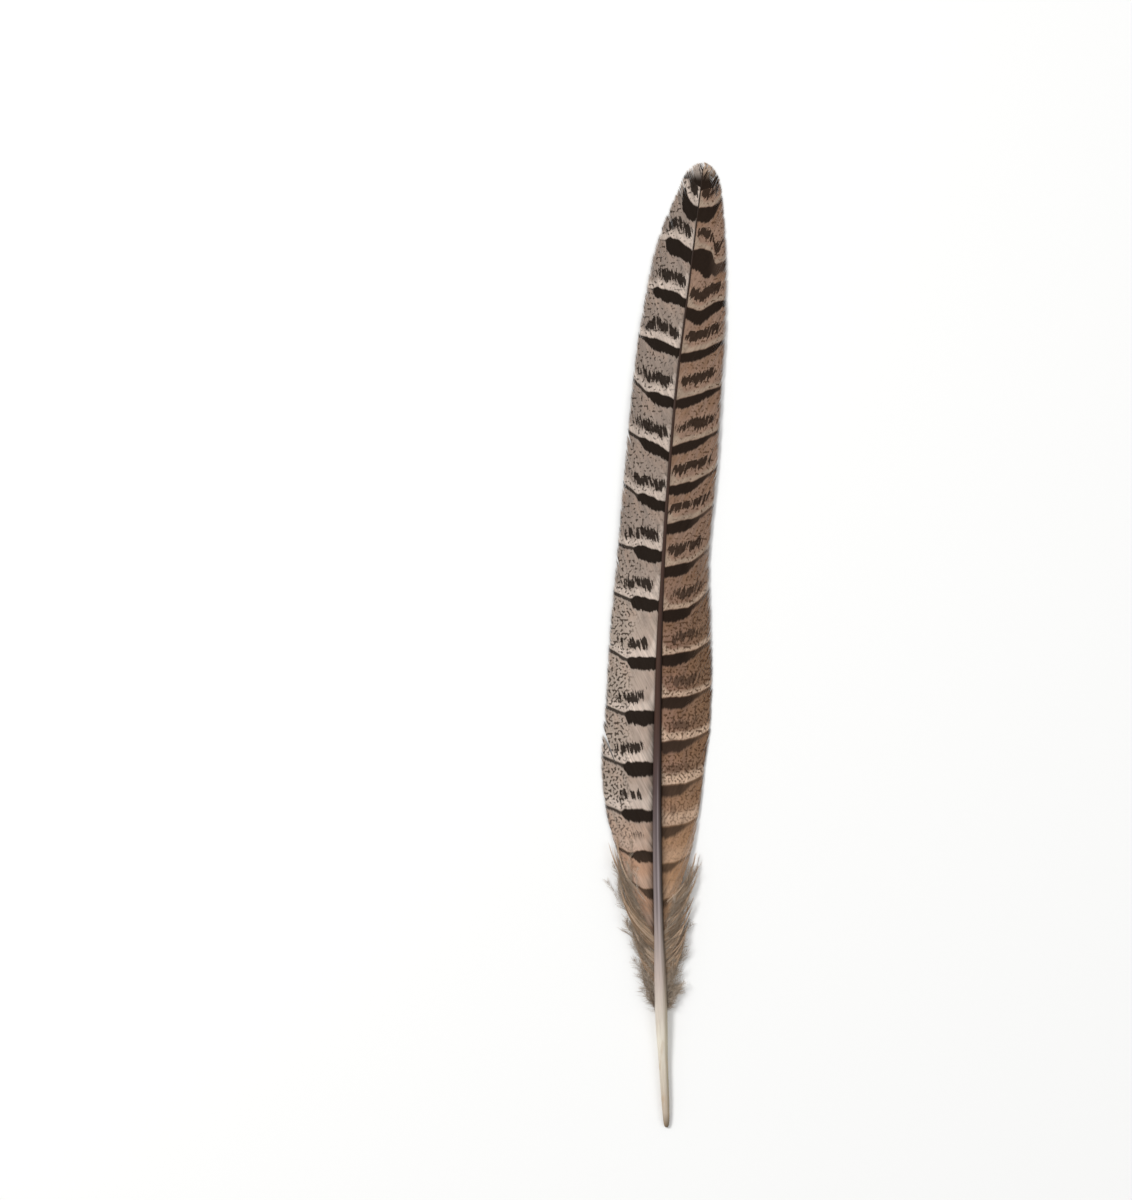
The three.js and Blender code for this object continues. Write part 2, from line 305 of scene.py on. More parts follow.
def left_bar_shape(station, q):
    """Rise of the bar's middle and its thickness: a block by the shaft, then a thin line."""
    tables = (LEFT_BAR_REACH, LEFT_BLOCK_RISE, LEFT_EDGE_RISE, LEFT_BAR_THICKNESS, LEFT_BLOCK_BEND)
    reach, rise, edge_rise, thick, bend = (curve_through(table)(station) for table in tables)
    in_block = np.clip(q / reach, 0, 1)
    past_block = np.clip((q - reach) / (1.02 - reach), 0, 1)
    middle = rise * in_block**bend + (edge_rise - rise) * past_block
    # Low on the vane the block ends at once; at the foot and high up the bar narrows more gently.
    gentle = smooth_step(160, 205, station) + smooth_step(82, 74, station)
    taper = mix(0.05, 0.3, gentle) * (1 - 0.7 * smooth_step(214, 224, station))
    body = thick * (0.8 + 0.28 * np.sin(np.pi * np.clip(in_block * 0.9, 0, 1)))
    line = LINE_THICKNESS * mix(1, 0.1, smooth_step(205, 222, station))
    line = line + 2.2 * smooth_step(254, 259, station)
    return middle, mix(body, line, smooth_step(reach - taper, reach + 0.05, q))


def right_bar_shape(station, q):
    """Rise of the bar's middle and its thickness: a band that hooks up and thins at the edge."""
    tables = (RIGHT_BAR_REACH, RIGHT_BAR_THICKNESS, RIGHT_LEAN, RIGHT_HOOK, RIGHT_SAG, RIGHT_SAG_PLACE)
    reach, thick, lean, hook, sag, sag_place = (curve_through(table)(station) for table in tables)
    middle = lean * q + hook * np.clip((q - 0.5) / 0.5, 0, 1.1) ** 1.35
    middle = middle - sag * np.exp(-(((q - sag_place) / 0.24) ** 2))
    body = thick * (0.82 + 0.2 * np.sin(np.pi * np.clip(q / 0.6, 0, 1)))
    hooked = smooth_step(228, 236, station) * smooth_step(246, 240, station)
    belly = hooked * HOOKED_BELLY * np.exp(-(((q - 0.5) / 0.17) ** 2))
    middle = middle - 0.5 * belly - hooked * HOOKED_DROP * smooth_step(0.55, 0.68, q)
    end = mix(LINE_THICKNESS, HOOKED_END_THICKNESS, hooked)
    return middle, mix(body + belly, end, smooth_step(reach - 0.24, reach + 0.12, q))


def pick(rows, numbers):
    """At each place, the value from the row whose number is given there."""
    return np.take_along_axis(rows, numbers[None], 0)[0]


def bar_marks(vane, station, q):
    """Where points lie among the bars.

    bar counts up by one from the far edge of one bar to the far edge of the next, gap is the
    distance between those two edges, and thick is the thickness of the nearest bar.
    """
    far_edges, thickness = [], []
    for bar_station in vane["bars"]:
        middle, thick = vane["bar_shape"](bar_station, q)
        at_shaft = vane["bar_shape"](bar_station, np.zeros(1))[1]
        far_edges.append(bar_station + middle + 0.5 * mix(thick, at_shaft, 0.3))
        thickness.append(thick)
    far_edges, thickness = np.array(far_edges), np.array(thickness)
    last = len(far_edges) - 1
    low = np.clip(np.sum(station[None] > far_edges, axis=0) - 1, 0, last - 1)
    below = pick(far_edges, low)
    gap = pick(far_edges, low + 1) - below
    bar = low + (station - below) / gap
    return bar, gap, pick(thickness, np.clip(np.round(bar).astype(int), 0, last))


LEFT = {
    "side": -1, "width": curve_through(LEFT_WIDTH), "edge_height": curve_through(LEFT_EDGE_HEIGHT),
    "splits": LEFT_SPLITS, "first": 72, "bars": LEFT_BARS, "bar_shape": left_bar_shape, "seed": 11,
}
RIGHT = {
    "side": 1, "width": curve_through(RIGHT_WIDTH), "edge_height": curve_through(RIGHT_EDGE_HEIGHT),
    "splits": RIGHT_SPLITS, "first": 63, "bars": RIGHT_BARS, "bar_shape": right_bar_shape, "seed": 23,
}


# ---- meshes made of many strands ----


def strand_faces(ring_count, sides):
    """One strand's faces: its walls, its pointed end and its flat root.

    Gives the point numbers at the faces' corners, the faces' sizes, and for each corner its place
    along and across the strand's field in the colour map and the column that the field is in.
    """
    r, k = np.divmod(np.arange((ring_count - 1) * sides), sides)
    k_next = (k + 1) % sides
    walls = np.stack([r * sides + k, r * sides + k_next, (r + 1) * sides + k_next, (r + 1) * sides + k], -1)
    around = np.arange(sides)
    end = (ring_count - 1) * sides
    ends = np.stack([end + around, end + (around + 1) % sides, np.full(sides, ring_count * sides)], -1)
    points = np.concatenate([walls.ravel(), ends.ravel(), around[::-1]])
    sizes = np.concatenate([np.full(len(r), 4), np.full(sides, 3), [sides]])

    # The strand lies along the middle of its field, with its two ends in the field's own ends.
    near, far = MAP_FIELD_EDGES
    first, last = MAP_STRAND_SPAN
    along = mix(first, last, np.arange(ring_count) / (ring_count - 1))
    wall_u = np.stack([along[r], along[r], along[r + 1], along[r + 1]], -1).ravel()
    turn = 2 * np.pi * around / sides
    u = np.concatenate([wall_u, np.tile([last, last, MAP_TIP], sides), 0.5 * first - 0.018 * np.cos(turn)])
    wall_v, end_v = np.tile([near, far, far, near], len(r)), np.tile([near, far, 0.5], sides)
    v = np.concatenate([wall_v, end_v, 0.5 + 0.4 * np.sin(turn)])
    column = np.concatenate([np.repeat(k, 4), np.repeat(around, 3), np.zeros(sides)])
    return points, sizes, u, v, column


def write_mark(mesh, name, values):
    """A number for each point of the mesh, which the materials read by its name."""
    attribute = mesh.attributes.new(name, "FLOAT", "POINT")
    attribute.data.foreach_set("value", values.ravel().astype(np.float32))


def strand_mesh(name, rings, tips, marks, bake_rows):
    """One mesh of closed strands, each a row of rings that ends in a point.

    rings is (strands, rings, sides, 3) and tips (strands, 3), in feather millimetres. marks
    holds named numbers for the strands' rings and tips. bake_rows is how many rows the strands
    take in the colour map that the mesh carries.
    """
    count, ring_count, sides, _ = rings.shape
    per_strand = ring_count * sides + 1
    points = np.concatenate([rings.reshape(count, -1, 3), tips[:, None]], axis=1)
    corners, sizes, u, v, column = strand_faces(ring_count, sides)
    strand = np.arange(count)[:, None]
    all_corners = (corners + per_strand * strand).ravel()
    all_sizes = np.tile(sizes, count)
    starts = np.concatenate([[0], np.cumsum(all_sizes)[:-1]])

    mesh = bpy.data.meshes.new(name)
    mesh.vertices.add(count * per_strand)
    mesh.vertices.foreach_set("co", to_table(points).ravel())
    mesh.loops.add(len(all_corners))
    mesh.loops.foreach_set("vertex_index", all_corners.astype(np.int32))
    mesh.polygons.add(len(all_sizes))
    mesh.polygons.foreach_set("loop_start", starts.astype(np.int32))
    mesh.update(calc_edges=True)
    for mark, values in marks.items():
        # The tip takes its last ring's number.
        values = np.broadcast_to(values, (count, ring_count + 1))[:, :ring_count]
        write_mark(mesh, mark, np.concatenate([np.repeat(values, sides, axis=1), values[:, -1:]], axis=1))
    field_width = 1 / sides / math.ceil(count / bake_rows)
    map_u = column / sides + (strand // bake_rows + u) * field_width
    map_v = (strand % bake_rows + v) * (1 / bake_rows)
    layer = mesh.uv_layers.new(name="OFBake")
    layer.data.foreach_set("uv", np.stack([map_u, map_v], -1).ravel().astype(np.float32))
    mesh.validate()

    piece = bpy.data.objects.new(name, mesh)
    bpy.context.scene.collection.objects.link(piece)
    return piece


# Below, half, roll, radius and turn hold a number for each strand, each ring or both.


def blade_rings(path, across, up, half, roll):
    """Flat four-sided rings along each path, rolled a little so that the blades catch the light."""
    half, roll = half[..., None], roll[..., None]
    wide = across * np.cos(roll) + up * np.sin(roll)
    high = up * np.cos(roll) - across * np.sin(roll)
    corners = [path + wide * half - high * BLADE_DROOP, path + high * BLADE_RIDGE]
    corners += [path - wide * half, path - high * BLADE_RIDGE]
    return np.stack(corners, axis=2)


def tube_rings(path, radius, turn):
    """Three-sided rings of a thin strand along each path."""
    along = heading(path)
    level = unit(np.cross(along, UP))
    upright = np.cross(level, along)
    angle = turn[:, None, None] + 2 * np.pi * np.arange(TUBE_SIDES)[None, None] / TUBE_SIDES
    ring = level[:, :, None] * np.cos(angle)[..., None] + upright[:, :, None] * np.sin(angle)[..., None]
    return path[:, :, None] + ring * radius[:, :, None, None]


# ---- vanes ----


def barb_place(vane, edge, share):
    """Station and distance out from the shaft's middle line, on the barb that ends at edge."""
    width = vane["width"](edge)
    back = BARB_ROOT_LEAN * (1 - share) + 0.5 * (BARB_END_LEAN - BARB_ROOT_LEAN) * (1 - share**2)
    return edge - width * back, width * share


def barb_root(station):
    """Where barbs leave the shaft: distance out and height above its middle line, in shaft radii.

    Low on the feather they leave its sides, so that more of the shaft is seen.
    """
    low = smooth_step(155, 115, station)
    return mix(0.62, 0.92, low), mix(0.8, 0.2, low)


def vane_height(vane, station, out):
    root = shaft_middle_z(station) + barb_root(station)[1] * shaft_radius(station)
    across = np.minimum(out / np.maximum(vane["width"](station), 1.5), 1.1)
    edge = vane["edge_height"](station) + EDGE_CLEARANCE
    return mix(root, edge, 0.5 * across + 0.5 * across**2)


def vane_point(vane, edge, share):
    station, out = barb_place(vane, edge, share)
    x = shaft_x(station) + vane["side"] * out
    return np.stack([x, station, vane_height(vane, station, out)], -1)


def barb_ends(vane):
    """End stations of barbs whose roots are one pitch apart along the shaft."""
    ends = np.linspace(vane["first"], FEATHER_LENGTH, ROOT_SAMPLES)
    roots = np.maximum.accumulate(barb_place(vane, ends, 0)[0])
    count = int((roots[-1] - roots[0]) / BARB_PITCH)
    return np.interp(np.linspace(roots[0], roots[-1], count), roots, ends)


def splay(vane, edge, share):
    """How far neighbouring barbs lean apart at each split, as a shift of the barb's end."""
    shift = np.zeros(np.broadcast(edge, share).shape)
    for place, joined in vane["splits"]:
        opened = np.clip((share - joined) / (1 - joined), 0, 1) ** 1.1
        gap = (0.3 + 2.6 * (1 - joined)) * (1 - 0.7 * smooth_step(205, 225, place))
        away = np.sign(edge - place) * gap * np.exp(-np.abs(edge - place) / SPLIT_SPREAD)
        shift += away * opened
    return shift


def loose_foot(edge):
    """1 for barbs at the vane's foot, which have come loose, and 0 above it."""
    return smooth_step(96, 70, edge)


def worn_tip(edge):
    """1 for barbs at the very tip, which are worn, and 0 below it."""
    return smooth_step(254, 263, edge)


def barb_shares(vane, edge, own, way):
    """Where on each barb its rings lie: from the shaft's side out to the barb's own reach."""
    # Locks of barbs with small dips between them, and more uneven barbs at the foot and the tip.
    lock = (edge - vane["first"]) / (FEATHER_LENGTH - vane["first"]) * LOCKS_PER_VANE
    from_joint = np.abs((lock % 1) - 0.5)
    reach = 1 - 0.018 * np.exp(-((from_joint / 0.1) ** 2)) - 0.012 * own[:, 0] ** 2
    reach -= (0.1 * loose_foot(edge) + 0.05 * worn_tip(edge)) * own[:, 1] ** 2
    reach -= 0.5 * smooth_step(84, 64, edge) * own[:, 3] ** 1.5
    root, _ = barb_place(vane, edge, 0)
    start = np.minimum(barb_root(root)[0] * shaft_radius(root) / vane["width"](edge), 0.6)
    return start + (reach - start) * way**0.9


def barb_paths(vane, edge, own, share, random):
    """Middle lines of the barbs, with the splits, small unevenness and the looser foot."""
    count = len(edge)
    outer = smooth_step(0.55, 1, share)
    shift = splay(vane, edge, share)
    shift += (own[:, 2] - 0.5) * (0.3 * outer + 0.6 * worn_tip(edge) * outer)
    shift += drift(count, 9, random)[:, None] * 0.3 * outer
    shift += loose_foot(edge) * share * (2.4 * drift(count, 7, random)[:, None] + 1.2 * (own[:, 3] - 0.5))
    shift = np.minimum(shift, FEATHER_LENGTH - edge - 0.25 * own[:, 0])
    path = vane_point(vane, edge + shift, share)
    lift = 0.22 * smooth_step(0.8, 1, share) * own[:, 1] ** 3
    lift = lift + 0.1 * drift(count, 8, random)[:, None] * np.sin(np.pi * np.clip(share, 0, 1))
    lift = lift + 0.5 * loose_foot(edge) * own[:, 0] * share
    path[..., 2] = np.maximum(path[..., 2] + lift, LOWEST_BARB)
    return path


def barb_blades(vane, edge, own, share, way, path, random):
    """Rings of the barbs, which are just over as wide as the distance to their neighbours."""
    even = vane_point(vane, edge, share)
    along = heading(even)
    to_next = np.gradient(even, axis=0)
    across_step = to_next - along * np.sum(to_next * along, axis=-1, keepdims=True)
    spacing = np.linalg.norm(across_step, axis=-1)
    half = np.clip(0.5 * BARB_OVERLAP * spacing, *BARB_HALF_WIDTHS)
    half = half * (1 - 0.3 * loose_foot(edge) * share) * (1 - 0.8 * smooth_step(0.93, 1, way))
    half = half * (1 - 0.55 * smooth_step(88, 66, edge) * share)

    along = heading(path)
    up = unit(np.cross(to_next, along) * vane["side"])
    up *= np.sign(up[..., 2:3])
    across = unit(np.cross(along, up))
    roll = 0.3 * drift(len(edge), 6, random)[:, None] + 0.25 * (own[:, 2] - 0.5)
    rings = blade_rings(path, across, up, half, roll)
    # The corners run the other way round on the right, so that the faces look outwards.
    return rings[:, :, ::-1] if vane["side"] > 0 else rings


def vane_marks(vane, path):
    """What the vane's material reads: where rings lie on the vane, on their barb and among the bars."""
    station = path[..., 1]
    out = np.abs(path[..., 0] - shaft_x(station))
    q = np.clip(out / vane["width"](station), 0, 1.05)
    bar, gap, thick = bar_marks(vane, station, q)
    run = np.cumsum(np.linalg.norm(np.diff(path, axis=1, prepend=path[:, :1]), axis=-1), axis=1)
    number = np.arange(len(path))[:, None] + 0.5
    return {
        "across": q, "bar": bar + FIRST_BAR_NUMBER, "gap": gap, "thick": thick, "out": out,
        "barb": number, "along": run, "station": station,
    }


def make_vane(name, vane):
    random = np.random.default_rng(vane["seed"])
    edge = barb_ends(vane)[:, None]
    own = random.random((len(edge), 4))[:, :, None]
    way = np.linspace(0, 1, BARB_RINGS + 1)[None]
    share = barb_shares(vane, edge, own, way)
    path = barb_paths(vane, edge, own, share, random)
    rings = barb_blades(vane, edge, own, share, way, path, random)
    return strand_mesh(name, rings[:, :-1], path[:, -1], vane_marks(vane, path), math.ceil(len(edge) / 2))


# ---- down and loose barbs ----


def down_paths(side, up, steps, turn, size=1):
    """Middle lines of the soft barbs at the foot; up runs from the lowest lock to the highest."""
    root = mix(*DOWN_ROOTS, up)
    length = mix(*DOWN_LENGTH[side], up) * size
    t = np.linspace(0, 1, steps + 1)[None]
    angle = mix(DOWN_START_ANGLE, DOWN_END_ANGLE[side], t**0.8) + turn[:, None] * t
    step = length[:, None] / steps
    x = shaft_x(root)[:, None] + side * np.cumsum(np.sin(angle) * step, axis=1)
    y = root[:, None] + np.cumsum(np.cos(angle) * step, axis=1)
    return x, y, t, root, length


def down_height(root, end_height, t, sway, waves, phase):
    """Height along the soft barbs, from the shaft's middle to their ends, in slow waves."""
    z = mix(shaft_middle_z(root)[:, None], end_height, t**0.9)
    return z + sway * np.sin(waves * t + FULL_TURN * phase) * t


def make_loose_barbs(name, vane):
    """Barbs at the vane's foot that no longer hook together, and cling in wispy locks."""
    random = np.random.default_rng(vane["seed"] + 50)
    locks, steps = LOOSE_LOCKS, LOOSE_STEPS
    lock_up = mix(0.3, 1, (np.arange(locks) + 0.4 * random.random(locks)) / locks)
    lock_up = np.repeat(lock_up, BARBS_PER_LOCK)
    count = len(lock_up)
    own = random.random((count, 5))
    lock_turn = np.repeat(0.26 * (random.random(locks) - 0.5), BARBS_PER_LOCK)
    lock_height = np.repeat(random.random(locks), BARBS_PER_LOCK)
    up = np.clip(lock_up + 0.1 * (own[:, 0] - 0.5), 0.25, 1)
    turn = lock_turn + 0.2 * (own[:, 1] - 0.5)
    x, y, t, root, _ = down_paths(vane["side"], up, steps, turn)
    lock_x, lock_y = down_paths(vane["side"], lock_up, steps, lock_turn)[:2]
    # The barbs of a lock lean towards its middle line, and part again at their very ends.
    cling = 0.75 * smooth_step(0.1, 0.7, t) * (1 - 0.5 * smooth_step(0.8, 1, t))
    x, y = mix(x, lock_x, cling), mix(y, lock_y, cling)
    height = mix(*LOOSE_END_HEIGHT, 0.7 * lock_height + 0.3 * own[:, 2])[:, None]
    z = down_height(root, height, t, 0.25, 6, own[:, 3:4])
    path = np.stack([x, y, np.maximum(z, 0.12)], -1)
    # Shorter barbs end before the lock does.
    place = t * mix(0.72, 1, own[:, 4])[:, None] * steps
    low = np.minimum(place.astype(int), steps - 1)
    rows = np.arange(count)[:, None]
    path = mix(path[rows, low], path[rows, low + 1], (place - low)[..., None])

    along = heading(path)
    across = unit(np.cross(along, UP))
    half = LOOSE_HALF_WIDTH * (1 - 0.85 * smooth_step(0.5, 1, t))
    roll = (own[:, 3:4] - 0.5) * 1.6
    rings = blade_rings(path, across, np.cross(across, along), half, roll)
    lock_tint = np.repeat(random.random(locks), BARBS_PER_LOCK)[:, None]
    marks = {"fluff": t, "tint": 0.6 * lock_tint + 0.4 * own[:, 1:2], "station": path[..., 1]}
    return strand_mesh(name, rings[:, :-1, ::-1], path[:, -1], marks, count)


def down_branches(stems, lengths, ups, tints, random):
    """Side branches that sweep forward along their stem, in small wisps that point the same way."""
    steps = DOWN_STEPS
    way = np.array(BRANCH_WAY)
    paths, branch_tints, fluffs = [], [], []
    for stem, length, up, stem_tint in zip(stems, lengths, ups, tints):
        number = int(length / BRANCH_PITCH)
        place = (np.arange(number) + random.random(number)) / number * 0.96 + 0.03
        low = np.minimum((place * steps).astype(int), steps - 1)
        base = mix(stem[low], stem[low + 1], (place * steps - low)[:, None])
        ahead = unit(stem[low + 1] - stem[low])
        for hand in (-1, 1):
            wisp = drift(number, 5, random)
            reach = mix(*BRANCH_LENGTH, up) * (0.45 + 0.55 * np.sin(np.pi * (0.1 + 0.75 * place)))
            reach = reach * (0.75 + 0.4 * wisp) * mix(0.7, 1.15, random.random(number))
            roll = 0.9 * drift(number, 4, random) + 0.5 * (random.random(number) - 0.5)
            level = unit(np.cross(ahead, UP)) * hand
            upright = np.cross(level, ahead) * hand
            out = level * np.cos(roll)[:, None] + upright * np.sin(roll)[:, None]
            lean = 0.72 + 0.35 * drift(number, 5, random) + 0.2 * (random.random(number) - 0.5)
            start = ahead * np.cos(lean)[:, None] + out * np.sin(lean)[:, None]
            curl = 0.9 * ahead + 0.5 * hand * level * drift(number, 4, random)[:, None]
            bend = 0.45 * (curl - BRANCH_SAG * UP)[:, None] * (way**2)[None, :, None]
            course = start[:, None] * way[None, :, None] + bend
            paths.append(base[:, None] + reach[:, None, None] * course)
            branch_tints.append(0.6 * stem_tint + 0.2 * (0.5 + 0.5 * wisp) + 0.2 * random.random(number))
            fluffs.append(0.25 + 0.75 * place)
    branch = np.concatenate(paths)
    branch[..., 2] = np.clip(branch[..., 2], *BRANCH_HEIGHTS)
    return branch, np.concatenate(branch_tints)[:, None], np.concatenate(fluffs)[:, None]


def make_down(name, vane):
    """Downy barbs in tufts, with fine short side branches: a mesh of stems and one of branches."""
    random = np.random.default_rng(vane["seed"] + 100)
    tufts, steps = DOWN_TUFTS, DOWN_STEPS
    own = random.random((tufts * STEMS_PER_TUFT, 6))
    tuft_up = np.repeat((np.arange(tufts) + 0.6 * random.random(tufts)) / tufts, STEMS_PER_TUFT) * 0.94
    tuft_turn = np.repeat(0.8 * (random.random(tufts) - 0.4), STEMS_PER_TUFT)
    tuft_tint = np.repeat(random.random(tufts), STEMS_PER_TUFT)
    up = np.clip(tuft_up + 0.09 * (own[:, 0] - 0.4), 0, 1)
    size = np.repeat(mix(0.72, 1, random.random(tufts)), STEMS_PER_TUFT) * mix(1, 0.55, own[:, 5] ** 1.5)
    turn = tuft_turn + 0.6 * (own[:, 1] - 0.5)
    x, y, t, root, length = down_paths(vane["side"], up, steps, turn, size)
    tuft_x, tuft_y = down_paths(vane["side"], tuft_up, steps, tuft_turn, size)[:2]
    cling = 0.5 * smooth_step(0.15, 0.7, t) * (1 - 0.6 * smooth_step(0.75, 1, t))
    x, y = mix(x, tuft_x, cling), mix(y, tuft_y, cling)
    z = down_height(root, mix(*DOWN_TIP_HEIGHT, own[:, 2])[:, None], t, 0.3, 7, own[:, 3:4])
    wave = FULL_TURN * own[:, 4:5]
    x = x + (0.55 * np.sin(8 * t + wave) + 0.25 * np.sin(19 * t + 2 * wave)) * t
    y = y + 0.4 * np.sin(11 * t + 1.7 * wave) * t
    path = np.stack([x, y, np.maximum(z, 0.3)], -1)
    tint = np.clip(0.55 * tuft_tint + 0.45 * own[:, 5], 0, 1)

    stem = tube_rings(path, mix(*STEM_RADIUS, t), FULL_TURN * own[:, 0])
    stem_marks = {"fluff": t * 0.6, "tint": tint[:, None], "station": path[..., 1]}
    branch, branch_tint, fluff = down_branches(path, length, up, tint, random)
    hair = tube_rings(branch, np.array(BRANCH_RADIUS)[None], random.random(len(branch)) * FULL_TURN)
    hair_marks = {"fluff": fluff, "tint": branch_tint, "station": branch[..., 1]}
    stems = strand_mesh(name + "_stems", stem[:, :-1], path[:, -1], stem_marks, len(own))
    hairs = strand_mesh(name, hair[:, :-1], branch[:, -1], hair_marks, HAIR_MAP_ROWS)
    return stems, hairs


# ---- shaft ----


def deselect_all():
    for thing in bpy.context.selected_objects:
        thing.select_set(False)


def edit(on):
    bpy.ops.object.mode_set(mode="EDIT" if on else "OBJECT")


def shaft_centre(station):
    point = np.array([shaft_x(station), station, shaft_middle_z(station) + SHAFT_LIFT])
    return Vector(to_table(point))


def feather_points(mesh):
    """The mesh's points in feather millimetres."""
    points = np.empty(len(mesh.vertices) * 3)
    mesh.vertices.foreach_get("co", points)
    return points.reshape(-1, 3) / MM - TO_FRAME


def make_shaft():
    """The quill and shaft, drawn out ring by ring from a disc at the quill's end."""
    deselect_all()
    radius = float(shaft_radius(0))
    bpy.ops.mesh.primitive_circle_add(
        vertices=SHAFT_SIDES, radius=radius * MM, fill_type="NGON",
        location=shaft_centre(0), rotation=(math.pi / 2, 0, 0),
    )
    shaft = bpy.context.object
    shaft.name = shaft.data.name = "shaft"
    edit(True)
    bpy.ops.mesh.select_all(action="SELECT")
    for before, station in zip(SHAFT_STATIONS, SHAFT_STATIONS[1:]):
        step = shaft_centre(station) - shaft_centre(before)
        bpy.ops.mesh.extrude_region_move(TRANSFORM_OT_translate={"value": step})
        grown = float(shaft_radius(station)) / radius
        radius = float(shaft_radius(station))
        bpy.ops.transform.resize(value=(grown, 1, grown), center_override=shaft_centre(station))
    bpy.ops.mesh.select_all(action="SELECT")
    bpy.ops.mesh.normals_make_consistent(inside=False)
    edit(False)
    bpy.ops.object.transform_apply(location=True, rotation=True, scale=True)
    open_quill_end(shaft)
    press_groove(shaft.data)
    smooth = shaft.modifiers.new("smooth", "SUBSURF")
    smooth.levels = smooth.render_levels = 1
    bpy.ops.object.modifier_apply(modifier="smooth")
    bpy.ops.object.shade_smooth()

    # Marks for the material: station along the feather, and how far round to the right.
    points = feather_points(shaft.data)
    station = points[:, 1]
    write_mark(shaft.data, "station", station)
    write_mark(shaft.data, "around", (points[:, 0] - shaft_x(station)) / shaft_radius(station))
    return shaft


def open_quill_end(shaft):
    """The small hole in the quill's end: its end face is inset and pushed in."""
    edit(True)
    bpy.ops.mesh.select_all(action="DESELECT")
    edit(False)
    end_face = min(shaft.data.polygons, key=lambda face: face.center[1])
    end_face.select = True
    edit(True)
    bpy.ops.mesh.select_mode(type="FACE")
    bpy.ops.mesh.inset(thickness=QUILL_WALL * MM)
    for depth, narrowing in QUILL_HOLE_STEPS:
        bpy.ops.mesh.extrude_region_move(TRANSFORM_OT_translate={"value": (0, depth * MM, 0)})
        bpy.ops.transform.resize(value=(narrowing, 1, narrowing))
    bpy.ops.mesh.select_mode(type="VERT")
    edit(False)


def press_groove(mesh):
    """The groove along the shaft's underside, from above the quill to the tip."""
    points = feather_points(mesh)
    station = points[:, 1]
    radius = shaft_radius(station)
    below = (shaft_middle_z(station) + SHAFT_LIFT - points[:, 2]) / radius
    sideways = np.abs(points[:, 0] - shaft_x(station)) / radius
    depth = GROOVE_DEPTH * smooth_step(0.5, 0.1, sideways) * smooth_step(0.5, 0.9, below)
    points[:, 2] += depth * radius * smooth_step(58, 72, station)
    mesh.vertices.foreach_set("co", to_table(points).ravel())
    mesh.update()


# ---- wiring of materials ----


def paint(code):
    """A colour code as the linear values that the shaders work in."""
    parts = [int(code[i : i + 2], 16) / 255 for i in (1, 3, 5)]
    return tuple(c / 12.92 if c <= 0.04045 else ((c + 0.055) / 1.055) ** 2.4 for c in parts) + (1,)


NUMBER, COLOUR = "NodeSocketFloat", "NodeSocketColor"
FINISH_NAMES = {
    "roughness": "Roughness", "specular": "Specular IOR Level", "coat_roughness": "Coat Roughness",
    "sheen": "Sheen Weight", "sheen_roughness": "Sheen Roughness",
}


